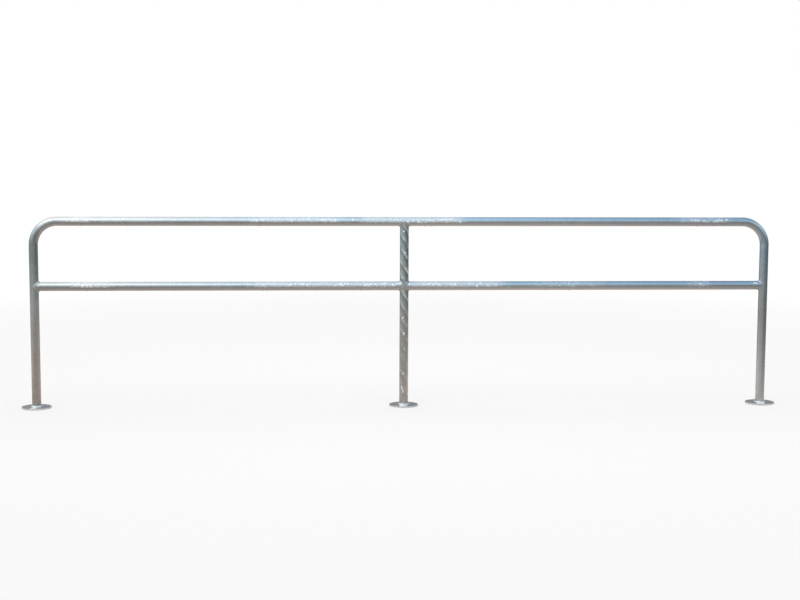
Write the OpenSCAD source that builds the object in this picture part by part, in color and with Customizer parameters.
// Modular street railing: one module of two bays, in hot-dip galvanised steel tube.
// The top rail and both end posts are one bent tube, the hoop. The middle post stands under
// it, and the mid rail is one coped length a bay. Every tube end is welded all round, and
// each post stands on a round flange that is bolted down.
// X runs along the railing, Y across it and Z up. The origin is the centre of the middle
// flange's underside. All sizes are in millimetres.

/* [Railing] */
// Height from the ground to the top of the top rail
overall_h = 1040; // [900:10:1300]
// Distance between the centre lines of neighbouring posts
bay_w = 2000; // [1000:10:2500]
// Distance from the top rail's centre line down to the mid rail's
rail_drop = 352; // [250:1:500]

/* [Tube] */
// Outer diameter of every tube
tube_d = 48.3; // [42.4:0.1:60.3]
// Wall thickness of every tube
tube_wall = 2.9; // [2:0.1:5]
// Radius of the hoop's two bends, to the tube's centre line
bend_r = 128; // [100:1:200]
// Fit-up gap between a coped tube end and the tube that it meets
cope_gap = 0.2; // [0.1:0.05:0.5]

/* [Base flanges] */
// Diameter of a flange plate
flange_d = 160; // [140:1:220]
// Thickness of a flange plate
flange_t = 8; // [5:0.5:15]
// Number of anchor holes in a flange
anchor_count = 4; // [3:1:6]
// Diameter of an anchor hole
anchor_hole_d = 14; // [9:0.5:18]
// Distance from the plate's rim in to the centre of an anchor hole
anchor_edge = 21; // [16:0.5:28]

/* [Zinc drains] */
// Diameter of the two drain holes in a flange, under the tube
drain_d = 10; // [6:0.5:14]
// Width of plate left between a drain hole and the tube's bore
drain_land = 5; // [2:0.5:6]
// Diameter of the vent in a tube's wall behind each coped end
vent_d = 16; // [8:0.5:24]

/* [Welds] */
// Leg of the fillet weld round a tube's foot
foot_leg = 7; // [4:0.5:10]
// Leg of the saddle weld round a coped end
saddle_leg = 6; // [3:0.5:8]
// How far a weld's face bulges past the straight line between its toes
weld_crown = 1.2; // [0.5:0.1:2]
// Clearance between a weld's back and the tube that it covers
weld_gap = 0.1; // [0.08:0.01:0.2]

/* [Hidden] */

zinc = "#a3aaac";
zinc_plate = "#8d9496";
zinc_weld = "#c3c9cc";

tube_r = tube_d / 2;
bore_r = tube_r - tube_wall;
top_z = overall_h - tube_r;
mid_z = top_z - rail_drop;
cope_r = tube_r + cope_gap;
anchor_r = flange_d / 2 - anchor_edge;
drain_x = bore_r - drain_land - drain_d / 2;
seam_r = tube_r + weld_gap;
post_x = [-bay_w, 0, bay_w];

// Small length by which a cutter passes the faces that it opens
past = 1;
// Corners of a round shape, number of stations round a saddle weld, and parts of its face
round_sides = 96;
seam_steps = 48;
face_steps = 4;

// Hollow tube along +Z from z0 to z1
module tube(z0, z1) {
    translate([0, 0, z0])
        difference() {
            cylinder(h = z1 - z0, r = tube_r, $fn = round_sides);
            translate([0, 0, -past])
                cylinder(h = z1 - z0 + 2 * past, r = bore_r, $fn = round_sides);
        }
}

// Solid cutter along +X, centred on the middle of its length
module cutter_x(length, r) {
    rotate([0, 90, 0])
        cylinder(h = length, r = r, center = true, $fn = round_sides);
}

// Quarter bend at the hoop's right shoulder, between the end post and the top rail
module bend() {
    translate([bay_w - bend_r, 0, top_z - bend_r])
        rotate([90, 0, 0])
            rotate_extrude(angle = 90, $fn = round_sides)
                translate([bend_r, 0])
                    difference() {
                        circle(r = tube_r, $fn = round_sides);
                        circle(r = bore_r, $fn = round_sides);
                    }
}

// Top rail and both end posts, bent from one tube, with a vent behind each coped end
module hoop() {
    color(zinc)
        difference() {
            union() {
                for (side = [-1, 1])
                    translate([side * bay_w, 0, 0])
                        tube(flange_t, top_z - bend_r);
                bend();
                mirror([1, 0, 0])
                    bend();
                translate([0, 0, top_z])
                    rotate([0, 90, 0])
                        tube(-bay_w + bend_r, bay_w - bend_r);
            }
            for (side = [-1, 1])
                translate([side * (bay_w - tube_r), 0, mid_z])
                    cutter_x(tube_r, vent_d / 2);
            translate([0, 0, top_z - tube_r])
                cylinder(h = tube_r, r = vent_d / 2, center = true, $fn = round_sides);
        }
}

// Middle post, coped at its top to the top rail and vented where the mid rails meet it
module middle_post() {
    color(zinc)
        difference() {
            tube(flange_t, top_z);
            translate([0, 0, top_z])
                cutter_x(4 * tube_d, cope_r);
            translate([0, 0, mid_z])
                cutter_x(2 * tube_d, vent_d / 2);
        }
}

// Mid rail of one bay, coped to the posts at x0 and x1
module mid_rail(x0, x1) {
    color(zinc)
        difference() {
            translate([0, 0, mid_z])
                rotate([0, 90, 0])
                    tube(x0, x1);
            for (x = [x0, x1])
                translate([x, 0, mid_z])
                    cylinder(h = 4 * tube_d, r = cope_r, center = true, $fn = round_sides);
        }
}

// Round base plate at x, with its anchor holes and the two drain holes under the tube
module flange(x) {
    color(zinc_plate)
        translate([x, 0, 0])
            difference() {
                cylinder(h = flange_t, r = flange_d / 2, $fn = round_sides);
                for (i = [0 : anchor_count - 1])
                    rotate([0, 0, (i + 0.5) * 360 / anchor_count])
                        translate([anchor_r, 0, -past])
                            cylinder(h = flange_t + 2 * past, r = anchor_hole_d / 2,
                                     $fn = round_sides);
                for (side = [-1, 1])
                    translate([side * drain_x, 0, -past])
                        cylinder(h = flange_t + 2 * past, r = drain_d / 2, $fn = round_sides);
            }
}

// Points across a weld's face from one toe to the other, bulged along the direction out
function weld_face(toe_a, toe_b, out) = [
    for (i = [0 : face_steps])
        let (s = i / face_steps)
            toe_a + s * (toe_b - toe_a) + 4 * s * (1 - s) * weld_crown * out
];

// Fillet weld between a tube's foot and its flange at x
module foot_weld(x) {
    root = [seam_r, 0];
    color(zinc_weld)
        translate([x, 0, flange_t])
            rotate_extrude($fn = round_sides)
                polygon(concat([root],
                               weld_face(root + [foot_leg, 0], root + [0, foot_leg],
                                         [1, 1] / sqrt(2))));
}

// Cross-section of a saddle weld at the angle a round the coped tube. That tube runs along
// +X and its end meets a tube along Z, so the seam is x = |z|. Along the coped tube a toe
// lies at +X of the seam, and along the other tube above or below it.
function saddle_section(a) =
    let (
        across = abs(cos(a)),
        up = across < 0.001 ? 0 : sign(cos(a)),
        root = seam_r * [across, sin(a), cos(a)],
        leg = saddle_leg * sqrt(1 + pow(sin(a), 2)),
        out = [across, 2 * sin(a), cos(a)]
    )
    concat([root],
           weld_face(root + [leg, 0, 0], root + [0, 0, up * leg], out / norm(out)));

// Saddle weld all round a coped end, with its coped tube along +X
module saddle_weld() {
    size = face_steps + 2;
    sections = [for (i = [0 : seam_steps - 1]) saddle_section(i * 360 / seam_steps)];
    points = [for (section = sections) for (p = section) p];
    faces = [
        for (i = [0 : seam_steps - 1])
            for (j = [0 : size - 1])
                let (
                    k = (j + 1) % size,
                    this = i * size,
                    next = ((i + 1) % seam_steps) * size
                )
                each [[this + j, this + k, next + k], [this + j, next + k, next + j]]
    ];
    color(zinc_weld)
        polyhedron(points = points, faces = faces);
}

// Saddle weld at the end of a mid rail: side is +1 where the rail lies at +X of the post
module rail_weld(x, side) {
    translate([x, 0, mid_z])
        mirror([side < 0 ? 1 : 0, 0, 0])
            saddle_weld();
}

// Saddle weld between the middle post's top and the top rail
module post_top_weld() {
    translate([0, 0, top_z])
        rotate([0, 90, 0])
            saddle_weld();
}

hoop();
middle_post();
mid_rail(post_x[0], post_x[1]);  // left_mid_rail
mid_rail(post_x[1], post_x[2]);  // right_mid_rail
flange(post_x[0]);  // left_flange
flange(post_x[1]);  // middle_flange
flange(post_x[2]);  // right_flange
foot_weld(post_x[0]);  // left_foot_weld
foot_weld(post_x[1]);  // middle_foot_weld
foot_weld(post_x[2]);  // right_foot_weld
post_top_weld();
rail_weld(post_x[0], 1);  // left_outer_weld
rail_weld(post_x[1], -1);  // left_inner_weld
rail_weld(post_x[1], 1);  // right_inner_weld
rail_weld(post_x[2], -1);  // right_outer_weld
